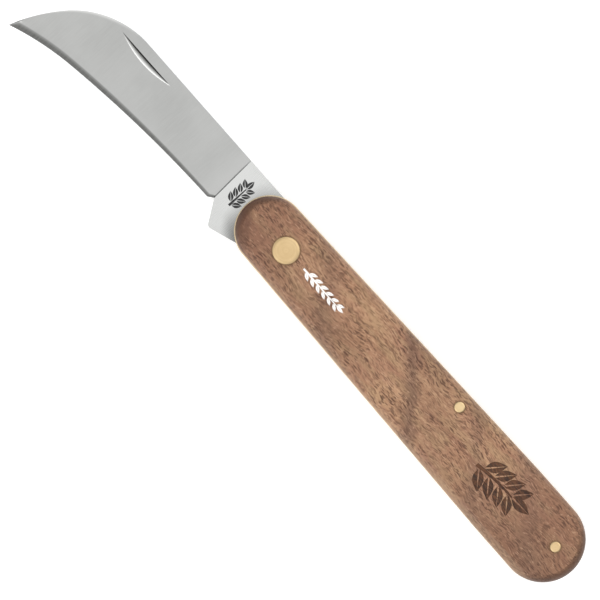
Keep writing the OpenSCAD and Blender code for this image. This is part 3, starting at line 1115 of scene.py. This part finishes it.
def build_blade():
    bm = bmesh.new()
    for layer in ("tang", "bevel", "crown", "etched"):
        bm.verts.layers.float.new(layer)
    front = build_face(bm, 1, (("etched", -ETCH_DEPTH, etched_sprig),))
    rear = build_face(bm, -1, ())
    for one, other in zip(front, rear):
        closed = one is front[3]
        count = len(one) if closed else len(one) - 1
        for i in range(count):
            j = (i + 1) % len(one)
            bm.faces.new((one[i], one[j], other[j], other[i]))
    return finish_mesh(bm, "steel_blade", BLADE_CREASE)


blade = build_blade()
loose = [e for e in blade.data.edges if e.is_loose]
print("blade loose edges", len(loose))

# %% [markdown]
# ## The nail nick
# A nail nick is the slot by which a thumbnail opens the blade. It is cut by the rim of a small
# wheel, so its wall on the spine side is steep and straight, and its floor rises in an arc
# towards the edge. The part of that wheel which goes into the blade is built here.

# %% Shape the nick's wheel
NICK_LENGTH = 14.7
NICK_WIDTH = 1.3
NICK_DEPTH = 0.42
FACE_SPAN = 12.2
nick_middle = (-48.5, 4.52)
nick_share = (plunge_top[0] - nick_middle[0]) / spine_length
nick_spine = (SPINE_THICK + (TIP_THICK - SPINE_THICK) * nick_share) / 2
nick_slope = (nick_spine - SHOULDER / 2) / FACE_SPAN
nick_face = middle_z + nick_spine - nick_slope * (SPINE_Y - nick_middle[1])


def build_nick_wheel():
    """The part of the cutting wheel that goes into the blade: a steep wall and a sloping floor."""
    radius = ((NICK_LENGTH / 2) ** 2 + NICK_DEPTH ** 2) / (2 * NICK_DEPTH)
    spread = math.degrees(math.asin(NICK_LENGTH / 2 / radius)) * 1.2
    lift = 0.5
    profile = [(lift, 0.0), (-NICK_DEPTH, 0.0), (lift, -NICK_WIDTH * (1 + lift / NICK_DEPTH))]
    bm = bmesh.new()
    rings = []
    steps = 80
    for i in range(steps + 1):
        turn = math.radians(-spread + 2 * spread * i / steps)
        ring = []
        for rise, down in profile:
            reach_here = radius - NICK_DEPTH - rise
            x = nick_middle[0] + reach_here * math.sin(turn)
            z = nick_face + radius - NICK_DEPTH - reach_here * math.cos(turn) + nick_slope * down
            ring.append(bm.verts.new((x * MM, (nick_middle[1] + down) * MM, z * MM)))
        rings.append(ring)
    join_rings(bm, *rings)
    bm.faces.new(rings[0])
    bm.faces.new(rings[-1][::-1])
    return finish_mesh(bm, "nick_wheel", 1)


# %% [markdown]
# ## Ground and polished steel
# The tang is polished, the ground face is satin with faint lines across it, and the bevel is
# coarser and painted darker as shade, because its lines catch less of the light overhead. The
# outer half of the spine gets a painted highlight, the tang a painted shade where it leaves the
# handle, and the etched sprig is near black. Everything comes from one recipe, so that the
# zones stay one piece of steel.

# %% Mix the steel
def mix_steel(name, tint=1.0, rough=0.0, in_nick=False):
    steel = Finish(name)
    lines = steel.noise(steel.place((7, 0.25, 0.25)), 3, 0.6)
    cross = steel.noise(steel.place((0.5, 5, 0.5), (4, 4, 0)), 3, 0.55)
    cloud = steel.noise(steel.place((0.10, 0.10, 0.10), (9, 2, 0)), 3)
    tang = steel.attribute("tang")
    bevel = steel.attribute("bevel")
    etched = steel.attribute("etched")

    def grey(level):
        return paint(level, level, level - 2)

    x, y, _ = steel.place().split()
    ground = steel.layer(
        grey(159),
        (cloud.step(0.3, 0.7), grey(166)),
        (lines.step(0.35, 0.7) * 0.35, grey(174)),
        (x.step(-24, -18.5) * 0.6, grey(174)),
        # painted highlight along the outer half of the spine
        (steel.attribute("crown").step(0.1, 1.0) * 0.7, grey(206)),
    )
    # the bevel's dark greys are painted shade, lighter near its shoulder
    coarse = (lines.step(0.3, 0.7), grey(110))
    filed = steel.layer(grey(92), coarse, (1 - bevel.step(0.05, 0.6), grey(136)))

    # painted shade on the tang where it comes out of the handle, darkest towards the bottom
    away_x = x - front_middle[0]
    away_y = y - front_middle[1]
    away = (away_x * away_x + away_y * away_y * 0.92).sum("SQRT")
    handle_shade = 1 - (away + cloud * 1.2).step(FRONT_RADIUS - 0.2, FRONT_RADIUS + 3.6)
    low_handle_shade = handle_shade * (1 - y.step(-6.5, -1.0))
    polished = steel.layer(
        grey(185),
        (cloud.step(0.3, 0.7), grey(192)),
        # painted shade near the handle, and darker still towards the bottom
        (handle_shade * 0.5, grey(140)),
        (low_handle_shade * 0.8, grey(98)),
    )
    colour = steel.layer(ground, (tang.step(0.45, 0.55), polished), (bevel.step(0.0, 0.22), filed))
    if in_nick:
        # painted shade at the root of the slope, and a painted highlight along the rim
        across = (x - nick_middle[0]) / (NICK_LENGTH / 2)
        width = (1 - across * across).sum("MAXIMUM", 0.03) * NICK_WIDTH
        share = (nick_middle[1] - y) / width
        colour = steel.layer(
            grey(64),
            (share.step(0.20, 0.38), grey(116)),
            (share.step(0.36, 0.68), grey(168)),
            (share.step(0.66, 0.88), grey(212)),
        )
    if tint != 1.0:
        patina = (cross * 0.5 + cloud * 0.5).step(0.38, 0.6)
        colour = steel.blend(patina * 0.55, colour, grey(112))
        colour = steel.blend(1.0, colour, (tint, tint, tint, 1), "MULTIPLY")
    colour = steel.blend(etched.step(0.4, 0.6), colour, paint(34, 34, 34))
    height = lines * (1 - tang * 0.8) + cross * 0.25
    bump = steel.bump(height, 0.22, 0.00002)
    gloss = (lines * 0.1 + 0.30 + rough - tang * 0.08 + bevel * 0.12 + etched * 0.3).sum("MINIMUM", 1.0)
    metal = 1 - etched * 0.9
    return steel.close({"Base Color": colour, "Metallic": metal, "Roughness": gloss, "Normal": bump})


blade_steel = mix_steel("ground_steel")
nick_shade_and_highlight_steel = mix_steel("nick_shade_and_highlight_steel", in_nick=True)
print("mixed", blade_steel.name, "and", nick_shade_and_highlight_steel.name)

# %% [markdown]
# ## Cutting the nick
# The wheel is taken away from the blade with a boolean. That leaves a true hollow, and its
# faces keep their own steel, which carries painted shade at the root and a painted highlight
# along the rim.

# %% Cut the nick
wheel = build_nick_wheel()
for piece in (blade, wheel):
    piece.data.materials.append(blade_steel)
    piece.data.materials.append(nick_shade_and_highlight_steel)
for face in wheel.data.polygons:
    face.material_index = 1
cut = blade.modifiers.new("nick", "BOOLEAN")
cut.operation = "DIFFERENCE"
cut.solver = "EXACT"
cut.object = wheel
cut_mesh = evaluated_mesh(blade)
blade.modifiers.clear()
blade.data = cut_mesh
cut_mesh.set_sharp_from_angle(angle=math.radians(BLADE_CREASE))
for face in cut_mesh.polygons:
    face.use_smooth = face.material_index == 0
bpy.data.objects.remove(wheel)
in_nick = sum(1 for face in cut_mesh.polygons if face.material_index == 1)
print("blade has", len(cut_mesh.polygons), "faces,", in_nick, "of them in the nick")
dress(blade, blade_steel, "blade_steel", "blade", "blade")

# %% [markdown]
# ## The back spring
# The spring lies between the liners and is seen only along the back and in the slot. Its
# shape is right in the frame already. A copy is merged, its edges are softened by a bevel, as
# tumbling does to a stamped spring, and it takes a darker steel.

# %% Soften the spring
SPRING_EDGE = 0.12
SPRING_CREASE = 30


def soften(node, name):
    """A copy of a part of the frame with its sharp edges bevelled."""
    bm = bmesh.new()
    bm.from_mesh(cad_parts[node].data)
    bmesh.ops.remove_doubles(bm, verts=bm.verts, dist=1e-6)
    bmesh.ops.dissolve_limit(bm, angle_limit=math.radians(1), verts=bm.verts, edges=bm.edges)
    piece = finish_mesh(bm, name, SPRING_CREASE)
    piece.data.materials.clear()
    bevel = piece.modifiers.new("edges", "BEVEL")
    bevel.width = SPRING_EDGE * MM
    bevel.segments = 2
    bevel.limit_method = "ANGLE"
    bevel.angle_limit = math.radians(SPRING_CREASE)
    softened = evaluated_mesh(piece)
    piece.modifiers.clear()
    piece.data = softened
    softened.shade_smooth()
    softened.set_sharp_from_angle(angle=math.radians(SPRING_CREASE))
    return piece


spring = soften("back_spring", "steel_back_spring")
spring_steel = mix_steel("spring_steel", 0.62, 0.06)
dress(spring, spring_steel, "spring_steel", "handle", "back_spring")

# %% [markdown]
# ## Measure and finish
# The span of the finished knife, floor left out, is printed in millimetres. The finished
# knife must stay inside the engineering model's box.

# %% Print the knife's span
low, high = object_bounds()
print("visual spans", [round(1000 * (b - a), 2) for a, b in zip(low, high)], "mm")
